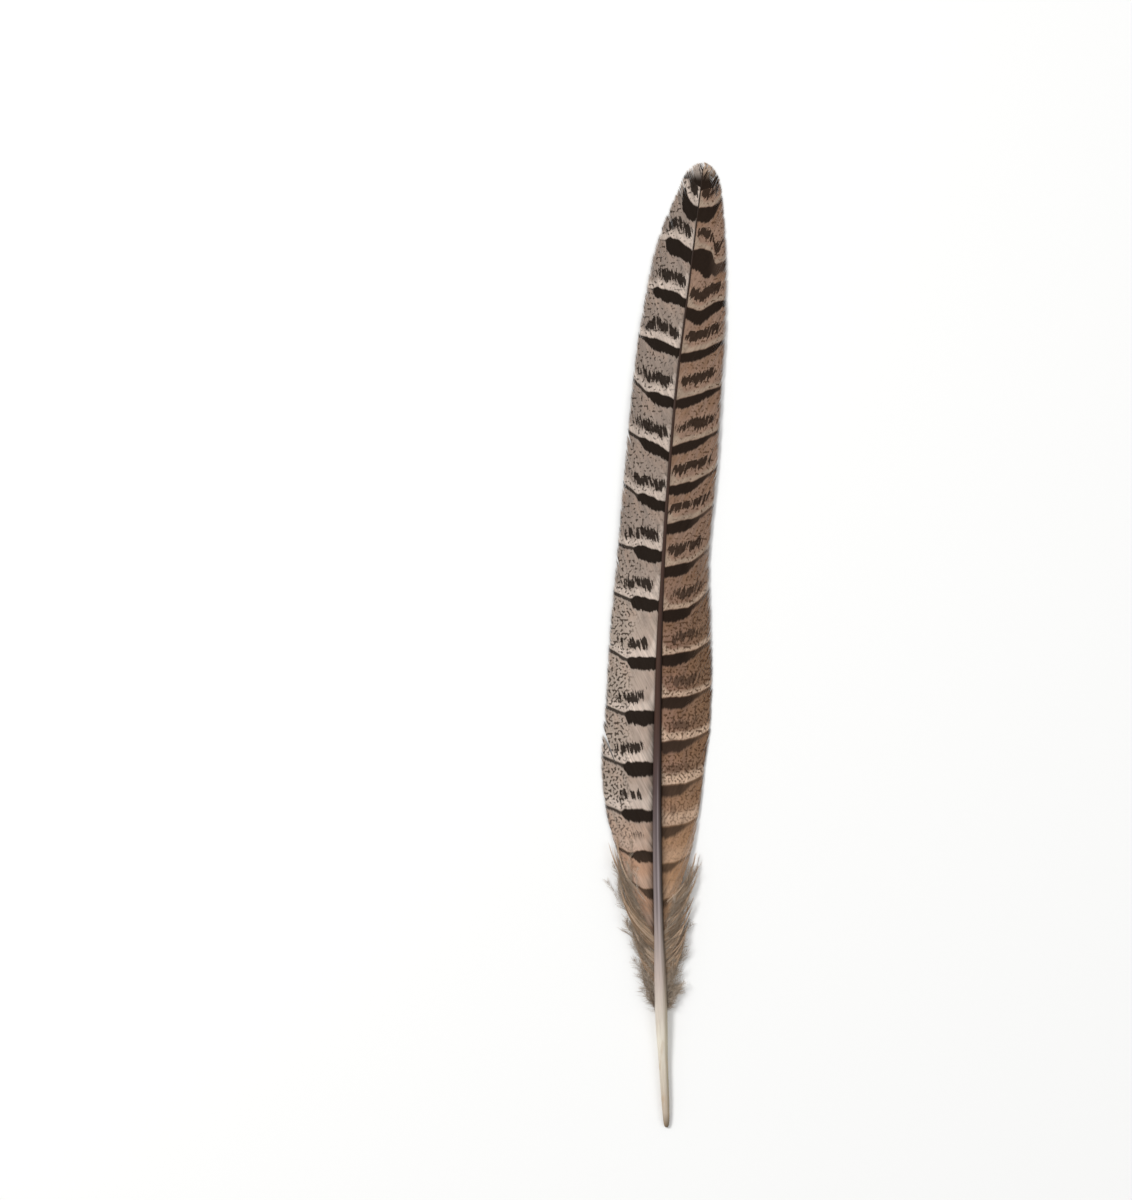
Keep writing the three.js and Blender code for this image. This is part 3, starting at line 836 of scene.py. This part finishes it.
class Wiring:
    """Short names for the nodes that the patterns are built from."""

    def __init__(self, tree):
        self.tree = tree
        self.marks = {}

    def node(self, kind, **settings):
        made = self.tree.nodes.new(kind)
        for key, value in settings.items():
            setattr(made, key, value)
        return made

    def put(self, socket, value):
        """Feed a socket from another node's output, or with a colour code or a number."""
        if hasattr(value, "is_linked"):
            self.tree.links.new(value, socket)
        elif isinstance(value, str):
            socket.default_value = paint(value)
        else:
            socket.default_value = value

    def math(self, operation, *values):
        made = self.node("ShaderNodeMath", operation=operation)
        for socket, value in zip(made.inputs, values):
            self.put(socket, value)
        return made.outputs[0]

    def add(self, first, *others):
        return reduce(lambda result, value: self.math("ADD", result, value), others, first)

    def times(self, first, *others):
        return reduce(lambda result, value: self.math("MULTIPLY", result, value), others, first)

    def less(self, a, b):
        return self.math("SUBTRACT", a, b)

    def swing(self, *noises):
        """The sum of noise values, each taken as a number about zero and scaled by its size."""
        return self.add(*(self.times(self.less(value, 0.5), size) for value, size in noises))

    def rise(self, value, low, high):
        """0 at low and 1 at high, smooth between; falls where low is above high."""
        made = self.node("ShaderNodeMapRange", interpolation_type="SMOOTHSTEP")
        for name, given in (("Value", value), ("From Min", low), ("From Max", high)):
            self.put(made.inputs[name], given)
        return made.outputs["Result"]

    def mixed(self, share, a, b, kind, **settings):
        made = self.node("ShaderNodeMix", **settings)
        for name, value in (("A", a), ("B", b)):
            self.put(next(s for s in made.inputs if s.name == name and s.type == kind), value)
        self.put(made.inputs["Factor"], share)
        return next(s for s in made.outputs if s.type == kind)

    def blend(self, share, a, b):
        """Number a where share is 0 and b where it is 1."""
        return self.mixed(share, a, b, "VALUE", data_type="FLOAT")

    def colour(self, share, a, b, kind="MIX"):
        """Colour a where share is 0 and b where it is 1, or the two combined in another way."""
        return self.mixed(share, a, b, "RGBA", data_type="RGBA", blend_type=kind)

    def toned(self, colour, tone):
        """The colour made darker or lighter: tone is a number about 1."""
        grey = self.node("ShaderNodeCombineColor")
        for socket in grey.inputs:
            self.put(socket, tone)
        return self.colour(1, colour, grey.outputs[0], "MULTIPLY")

    def noise(self, x, x_scale, y, y_scale, z=0, detail=1):
        """Noise between 0 and 1 over two values, each with how many waves it has to a unit."""
        place = self.node("ShaderNodeCombineXYZ")
        for socket, value in zip(place.inputs, (self.times(x, x_scale), self.times(y, y_scale), z)):
            self.put(socket, value)
        made = self.node("ShaderNodeTexNoise")
        self.put(made.inputs["Vector"], place.outputs[0])
        made.inputs["Scale"].default_value = 1
        made.inputs["Detail"].default_value = detail
        return made.outputs["Fac"]

    def random(self, x):
        made = self.node("ShaderNodeTexWhiteNoise", noise_dimensions="1D")
        self.put(made.inputs["W"], x)
        return made.outputs["Value"]

    def mark(self, name):
        """A number that the mesh carries at each of its points; a group is handed its marks."""
        if name not in self.marks:
            self.marks[name] = self.node("ShaderNodeAttribute", attribute_name=name).outputs["Fac"]
        return self.marks[name]

    def zone(self, low, high):
        """0 at one station and 1 at the other, in millimetres, smooth between."""
        return self.rise(self.mark("station"), low, high)

    def ramp(self, value, stops):
        made = self.node("ShaderNodeValToRGB")
        elements = made.color_ramp.elements
        while len(elements) < len(stops):
            elements.new(0.5)
        for element, (place, code) in zip(elements, stops):
            element.position = place
            element.color = paint(code)
        self.put(made.inputs["Fac"], value)
        return made.outputs["Color"]


def new_group(name, inputs, outputs):
    """A node group, the wiring inside it, and its sockets there; each is given with its kind."""
    group = bpy.data.node_groups.new(name, "ShaderNodeTree")
    for direction, sockets in (("INPUT", inputs), ("OUTPUT", outputs)):
        for socket_name, kind in sockets.items():
            group.interface.new_socket(socket_name, in_out=direction, socket_type=kind)
    w = Wiring(group)
    return group, w, w.node("NodeGroupInput").outputs, w.node("NodeGroupOutput").inputs


def new_material(name, **finish):
    """A material, its wiring and its shader, with what is the same all over it set."""
    material = bpy.data.materials.new(name)
    material.use_nodes = True
    shader = material.node_tree.nodes["Principled BSDF"]
    for key, value in finish.items():
        shader.inputs[FINISH_NAMES[key]].default_value = value
    return material, Wiring(material.node_tree), shader


def add_bump(w, shader, height, distance_mm):
    bump = w.node("ShaderNodeBump")
    bump.inputs["Strength"].default_value = BUMP_STRENGTH
    bump.inputs["Distance"].default_value = distance_mm * MM
    w.put(bump.inputs["Height"], height)
    w.put(shader.inputs["Normal"], bump.outputs["Normal"])


# ---- the barred pattern of the vanes ----

# The looks of the left and the right vane. bar_soft is the half width of a bar's edge, blotch_lift
# how far the rows of blotches lie past the bars, pale_reach how far the pale band does, and
# pale_rib how much farther it goes beside the shaft, all in millimetres. foot_start and
# rib_shade_top are stations. low_lift makes the lower vane paler.
VANE_LOOKS = {
    "seed": (31, 57), "inner_ground": ("#B7A598", "#8F705E"), "outer_ground": ("#B5A699", "#886C56"),
    "upper_ground": ("#9C8D82", "#9A7F6D"), "warm_tint": ("#A78D7B", "#7E5F46"),
    "foot_tint": ("#B99073", "#AB8869"), "pale_band": ("#D2C3B7", "#C6AD97"),
    "upper_pale": ("#CABBAF", "#A89583"), "speckle_colour": ("#35291F", "#503826"),
    "blotch_colour": ("#1E140C", "#2E2016"), "bar_colour": ("#1D130B", "#22170F"),
    "bar_soft": (0.14, 0.24), "ragged": (1, 0.85), "waviness": (1, 0.55), "edge_fade": (0, 0.35),
    "blotch_lift": (3.9, 4.3), "upper_blotch": (1, 1.14), "low_blotch": (0.94, 0.72),
    "speckle_start": (0.4, -0.1), "speckle_strength": (1, 0.95), "warmth": (0.35, 0.6),
    "pale_reach": (2, 1.3), "pale_rib": (4.5, 2), "low_lift": (0, 0.2), "foot_start": (92, 104),
    "rib_shade": (0.5, 0.58), "rib_shade_top": (110, 95),
}
VANE_MARKS = ("across", "bar", "gap", "thick", "out", "barb", "along", "station")

# In the functions below w wires the pattern, and v is what vane_places gives.


def vane_places(w, given):
    """A vane's look, where a point lies on the vane, and how uneven the vane is there."""
    v = SimpleNamespace(**{name: given[name] for name in (*VANE_MARKS, *VANE_LOOKS)})
    v.upper = w.zone(128, 168)
    v.foot = w.zone(v.foot_start, 68)
    v.low = w.zone(135, 85)
    v.tip = w.zone(259, 263.4)

    # Millimetres past the nearest bar's far edge and past its near one; less than 0 below them.
    nearest = w.math("FLOOR", w.add(v.bar, 0.5))
    v.over = w.times(w.less(v.bar, nearest), v.gap)
    v.past_near_edge = w.add(v.over, v.thick)

    # Unevenness along and across the barbs, from single barbs to whole locks.
    lane = w.times(v.barb, BARB_SPACING)
    v.strand = w.random(w.add(w.math("FLOOR", v.barb), v.seed))
    v.fine = w.noise(lane, 2.6, v.along, 0.22, w.add(v.seed, 9))
    v.streak = w.noise(lane, 0.95, v.along, 0.2, v.seed, detail=1.5)
    v.broad = w.noise(lane, 0.28, v.along, 0.12, w.add(v.seed, 7))
    v.dot = w.noise(v.out, 1.7, v.station, 1.35, w.add(v.seed, 3), detail=0)
    # Strokes lean half way between the barbs and the shaft.
    leaning = w.times(w.less(lane, v.out), 0.5)
    v.stroke = w.noise(leaning, 1.9, v.station, 0.2, w.add(v.seed, 13))
    v.nick = w.noise(leaning, 4.2, v.station, 0.4, w.add(v.seed, 17))
    return v


def bar_cover(w, v):
    """How much of a point the bars cover, and how far it lies past their wavy far edge.

    The bars have a crisp edge on the tip's side and a ragged one on the quill's side.
    """
    soft = w.times(v.bar_soft, w.blend(v.low, 1, 2))
    wave = w.times(w.swing((v.broad, 1.6), (v.streak, 0.4), (v.strand, 0.2)), v.waviness)
    past = w.add(v.over, w.times(wave, w.rise(v.thick, 0, 3)))
    far_edge = w.rise(past, soft, w.times(soft, -1))
    torn = w.swing((v.stroke, 1.5), (v.nick, 1), (v.strand, 0.35), (v.broad, 1.6))
    torn = w.times(torn, v.ragged, w.rise(v.thick, -0.6, 2.6))
    near_edge = w.rise(w.add(v.past_near_edge, torn), w.times(soft, -1.3), w.times(soft, 1.3))
    return w.times(far_edge, near_edge, w.blend(w.rise(v.thick, 0.5, 1.6), 0.85, 1)), past


def bar_strength(w, v):
    """How dark the bars are: they fade at the foot, low on the vane and towards its edge."""
    strength = w.blend(w.zone(84, 56), 0.98, 0.8)
    strength = w.times(strength, w.blend(w.zone(61, 57), 1, 0.25))
    # Towards the edge they fade most of all below and on the hooked one near the tip.
    hooked = w.times(w.zone(226, 233), w.zone(244, 240))
    hooked = w.times(hooked, w.rise(v.across, 0.45, 0.8), 0.5)
    fade = w.times(w.rise(v.across, 0.45, 1), w.zone(195, 150))
    fade = w.times(w.math("MAXIMUM", fade, hooked), v.edge_fade)
    low_fade = w.times(v.low, v.low_lift, 0.8)
    return w.times(strength, w.less(1, fade), w.less(1, low_fade))


def blotch_cover(w, v):
    """Blotches: a broken row of strokes along the barbs, on the tip's side of each bar."""
    off_row = w.math("ABSOLUTE", w.less(w.add(v.over, w.swing((v.broad, 2.6))), v.blotch_lift))
    inner = w.rise(v.across, w.blend(v.upper, 0.13, -0.02), w.blend(v.upper, 0.34, 0.16))
    outer = w.rise(v.across, 1, w.blend(v.upper, 0.5, 0.7))
    thin_foot = w.blend(w.zone(100, 84), 1, 0.7)
    push = w.times(w.rise(off_row, 2.7, 0.3), inner, outer, thin_foot)
    # The rows get fuller towards the tip, and one of them on the right is nearly closed.
    full_row = w.times(w.zone(216, 223), w.zone(236, 231))
    fuller = w.add(w.zone(165, 205), w.times(full_row, 1.6))
    push = w.times(push, w.add(1, w.times(fuller, w.less(v.upper_blotch, 1))))
    inked = w.add(w.swing((v.stroke, 0.85), (v.nick, 0.5), (v.broad, 0.2)), w.times(push, 0.34))
    blotch = w.times(w.rise(inked, 0.19, 0.25), w.rise(push, 0.02, 0.2))
    blotch = w.times(blotch, w.less(1, v.tip), w.less(1, w.zone(82, 78)))
    return w.times(blotch, w.less(1, w.times(v.low, v.low_lift, 2.5)))


def speckle_cover(w, v):
    """Speckles: small dots between the bars, thickest on the outer half low on the feather."""
    free = w.math("MAXIMUM", w.rise(v.over, 0.1, 0.7), w.rise(v.past_near_edge, -0.2, -0.9))
    start = v.speckle_start
    spread = w.blend(v.upper, w.rise(v.across, start, w.add(start, 0.26)), w.rise(v.across, -0.3, 0.6))
    speckle = w.rise(v.dot, w.blend(v.upper, 0.55, 0.6), w.blend(v.upper, 0.6, 0.67))
    return w.times(speckle, free, spread, v.speckle_strength, w.blend(v.foot, 1, 0.25))


def ground_colour(w, v, past):
    """The colours between the markings: warm on the quill's side of each bar, pale past it."""
    ground = w.colour(w.rise(v.across, 0.1, 0.9), v.inner_ground, v.outer_ground)
    ground = w.colour(v.upper, ground, v.upper_ground)
    warm = w.times(w.rise(v.over, -7.5, -4), w.rise(v.past_near_edge, 0.3, -0.6))
    patch = w.rise(w.add(v.broad, w.swing((v.streak, 0.6))), 0.35, 0.62)
    ground = w.colour(w.times(warm, v.warmth, patch), ground, v.warm_tint)
    ground = w.colour(w.times(v.foot, 0.8), ground, v.foot_tint)
    reach = w.add(v.pale_reach, w.times(w.zone(120, 80), 1.2))
    reach = w.add(reach, w.times(v.low, v.low_lift, 4.5))
    reach = w.add(reach, w.times(w.rise(v.across, 0.2, 0.06), v.pale_rib))
    pale = w.times(w.rise(past, 0, 0.35), w.rise(past, w.times(reach, 1.5), w.times(reach, 0.6)))
    pale = w.times(pale, w.blend(v.strand, 0.75, 1), w.blend(w.zone(92, 74), 1, 0.3))
    ground = w.colour(pale, ground, w.colour(v.upper, v.pale_band, v.upper_pale))
    # Darker and lighter barbs and locks, the foot, and painted shade on the vanes beside the lower shaft,
    # in the angle where the shaft meets them.
    tone = w.add(1, w.swing((v.strand, 0.2), (v.fine, 0.5), (v.streak, 0.4), (v.broad, 0.35)))
    tone = w.add(tone, w.times(v.low, v.low_lift), w.times(w.zone(72, 52), -0.22))
    shade_top = v.rib_shade_top
    by_rib = w.times(w.rise(v.out, 3.6, 1.2), w.zone(w.add(shade_top, 12), shade_top))
    return w.toned(ground, w.less(tone, w.times(by_rib, v.rib_shade)))


def barred_pattern():
    """A vane's ground, speckles, blotches and bars, as a node group that both vanes use.

    Its inputs are the marks of the mesh and the look of a vane, by their own names.
    """
    inputs = dict.fromkeys(VANE_MARKS, NUMBER)
    for name, (left, _) in VANE_LOOKS.items():
        inputs[name] = COLOUR if isinstance(left, str) else NUMBER
    group, w, given, out = new_group("barred_pattern", inputs, {"colour": COLOUR, "dark": NUMBER})
    w.marks = {name: given[name] for name in VANE_MARKS}
    v = vane_places(w, given)
    bar, past = bar_cover(w, v)
    blotch = blotch_cover(w, v)
    colour = ground_colour(w, v, past)
    colour = w.colour(w.times(speckle_cover(w, v), 0.85), colour, v.speckle_colour)
    colour = w.colour(w.times(blotch, w.blend(v.upper, v.low_blotch, 0.94)), colour, v.blotch_colour)
    colour = w.colour(w.times(bar, bar_strength(w, v)), colour, v.bar_colour)
    # The very tip is worn and pale, in streaks.
    worn = w.times(v.tip, w.rise(v.fine, 0.38, 0.5))
    w.put(out["colour"], w.colour(w.times(worn, 0.88), colour, v.pale_band))
    w.put(out["dark"], w.math("MAXIMUM", bar, blotch))
    return group


def vane_material(name, vane, pattern):
    """A vane's surface: the pattern in the vane's own look, and the ripple of its barbs."""
    material, w, shader = new_material(name, specular=0.08, sheen=0.015, sheen_roughness=0.5)
    use = w.node("ShaderNodeGroup", node_tree=pattern)
    for mark in VANE_MARKS:
        w.put(use.inputs[mark], w.mark(mark))
    for key, (left, right) in VANE_LOOKS.items():
        w.put(use.inputs[key], left if vane["side"] < 0 else right)
    w.put(shader.inputs["Base Color"], use.outputs["colour"])
    w.put(shader.inputs["Roughness"], w.blend(use.outputs["dark"], 0.75, 0.6))
    add_bump(w, shader, w.noise(w.mark("barb"), 2, w.mark("along"), 9, detail=2), 0.04)
    return material


# ---- the other materials ----

# The shaft's colours at stations along it.
SHAFT_COLOURS = [
    (0, "#6F5B44"), (4, "#B7A897"), (24, "#DCD4C4"), (40, "#BDAEA5"), (62, "#8F8382"),
    (92, "#514240"), (112, "#453028"), (263, "#2A1E15"),
]


def shaft_material():
    """Ivory quill that turns pinkish, then lilac grey, then dark brown towards the tip."""
    material, w, shader = new_material("quill_horn", specular=0.12, coat_roughness=0.35)
    station, around = w.mark("station"), w.mark("around")
    stops = [(place / FEATHER_LENGTH, code) for place, code in SHAFT_COLOURS]
    left = w.ramp(w.math("DIVIDE", station, FEATHER_LENGTH), stops)
    # The right side is darker and warmer: painted shade on the side away from the key light, deepest where
    # the vanes begin.
    painted_shade_dip = w.times(w.zone(26, 72), -0.4)
    shade = w.add(0.62, painted_shade_dip, w.times(w.zone(85, 210), 0.3))
    right = w.colour(1, w.toned(left, shade), "#FFFAEA", "MULTIPLY")
    grain = w.noise(around, 4, station, 0.07, detail=3)
    fibre = w.noise(around, 11, station, 0.16, 3, detail=2)
    side = w.rise(w.add(around, w.swing((grain, 0.8))), 0.1, 0.85)
    colour = w.colour(side, left, right)
    # A dark line along the middle of the lower shaft, painted shade as of a groove that the mesh doesn't
    # have, with a painted highlight line on its right.
    uneven = w.swing((grain, 0.2))
    dark = w.rise(w.math("ABSOLUTE", w.add(around, 0.32, uneven)), 0.3, 0.08)
    painted_highlight = w.rise(w.math("ABSOLUTE", w.add(around, -0.1, uneven)), 0.2, 0.04)
    reach = w.times(w.zone(38, 66), w.zone(108, 80))
    colour = w.colour(w.times(dark, reach, 0.5), colour, "#4D4446")
    colour = w.colour(w.times(painted_highlight, reach, 0.35), colour, "#B3A9AC")
    # Fibres and small tan clouds in the horn.
    colour = w.toned(colour, w.add(1, w.swing((fibre, 0.5), (grain, 0.35))))
    cloud = w.noise(around, 1.2, station, 0.2, 5, detail=3)
    tan = w.times(w.rise(cloud, 0.5, 0.72), w.zone(40, 15), 0.45)
    w.put(shader.inputs["Base Color"], w.colour(tan, colour, "#B79C7C"))
    w.put(shader.inputs["Roughness"], w.blend(grain, 0.32, 0.55))
    w.put(shader.inputs["Coat Weight"], w.times(w.zone(95, 45), 0.12))
    add_bump(w, shader, w.add(grain, w.times(fibre, 0.6), w.times(cloud, 0.5)), 0.12)
    return material


def soft_material(name, shades):
    """Down and loose barbs: shades from dark to light, with paler ends, told apart by tint."""
    material, w, shader = new_material(name, roughness=0.85, specular=0.12, sheen=0.06)
    tint = w.mark("tint")
    shade = w.noise(tint, 30, w.mark("station"), 0.4, detail=2)
    # Darker at the roots and paler at the ends; the darkening at the roots is partly painted shade among
    # the strands.
    tone = w.add(w.blend(w.mark("fluff"), 0.76, 1.24), w.swing((shade, 0.5)))
    w.put(shader.inputs["Base Color"], w.toned(w.ramp(tint, shades), tone))
    return material


def table_material():
    material, w, shader = new_material("pale_table", roughness=0.8, specular=0.2)
    w.put(shader.inputs["Base Color"], "#F6F6F5")
    return material


# ---- building ----


def finished(piece, material):
    piece.data.materials.clear()
    piece.data.materials.append(material)
    return piece


loose_finish = soft_material(
    "loose_barb_tan", [(0, "#75604A"), (0.25, "#9A8068"), (0.6, "#B59A80"), (1, "#CDB8A2")]
)
down_finish = soft_material(
    "soft_down", [(0, "#6A5948"), (0.4, "#988674"), (0.75, "#BCAC9A"), (1, "#E6DCD0")]
)
pattern = barred_pattern()
sides = (("left", LEFT), ("right", RIGHT))
pieces = []
for side, vane in sides:
    barring = vane_material(side + "_barring", vane, pattern)
    pieces.append(finished(make_vane(side + "_vane", vane), barring))
pieces.append(finished(make_shaft(), shaft_material()))
for side, vane in sides:
    pieces.append(finished(make_loose_barbs(side + "_loose_barbs", vane), loose_finish))
    for piece in make_down(side + "_down", vane):
        pieces.append(finished(piece, down_finish))
for piece in pieces:
    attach(piece, "root")
    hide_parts("feather")


# ---- table, light and camera ----


def set_table():
    deselect_all()
    bpy.ops.mesh.primitive_plane_add(size=TABLE_SIZE, location=(0, 0, -TABLE_GAP))
    table = bpy.context.object
    table.name = table.data.name = "table"
    finished(table, table_material())


def set_sky():
    world = bpy.data.worlds.new("studio")
    world.use_nodes = True
    sky = world.node_tree.nodes["Background"]
    sky.inputs["Color"].default_value = (1, 1, 1, 1)
    sky.inputs["Strength"].default_value = 0.5
    bpy.context.scene.world = world


def set_light(name, place, size, power):
    """A round lamp that faces the feather; place and size are in metres, power in watts."""
    data = bpy.data.lights.new(name, "AREA")
    data.shape = "DISK"
    data.size = size
    data.energy = power
    lamp = bpy.data.objects.new(name, data)
    lamp.location = place
    lamp.rotation_euler = (-Vector(place)).to_track_quat("-Z", "Y").to_euler()
    bpy.context.scene.collection.objects.link(lamp)


def set_camera():
    """The camera looks straight down; the feather lies right of the middle of its view."""
    data = bpy.data.cameras.new("camera")
    data.lens, data.sensor_width = CAMERA_LENS_MM, CAMERA_SENSOR_MM
    data.clip_start, data.clip_end = 0.01, 30
    camera = bpy.data.objects.new("camera", data)
    aim_x = (VIEW_SIZE_PIXELS[0] / 2 - QUILL_END_PIXEL[0]) * MM_PER_PIXEL
    aim_station = (QUILL_END_PIXEL[1] - VIEW_SIZE_PIXELS[1] / 2) * MM_PER_PIXEL
    aim = to_table(np.array([aim_x, aim_station, 0]))
    distance = VIEW_SIZE_PIXELS[1] * MM_PER_PIXEL * MM * data.lens / data.sensor_width
    camera.location = (aim[0], aim[1], distance)
    bpy.context.scene.collection.objects.link(camera)
    bpy.context.scene.camera = camera


set_table()
set_sky()
set_light("key_light", (-0.8, 0.5, 1.1), 0.5, 13)
set_light("fill_light", (0.9, -0.3, 1.1), 1, 4)
set_camera()
bpy.context.scene.view_settings.view_transform = "Standard"
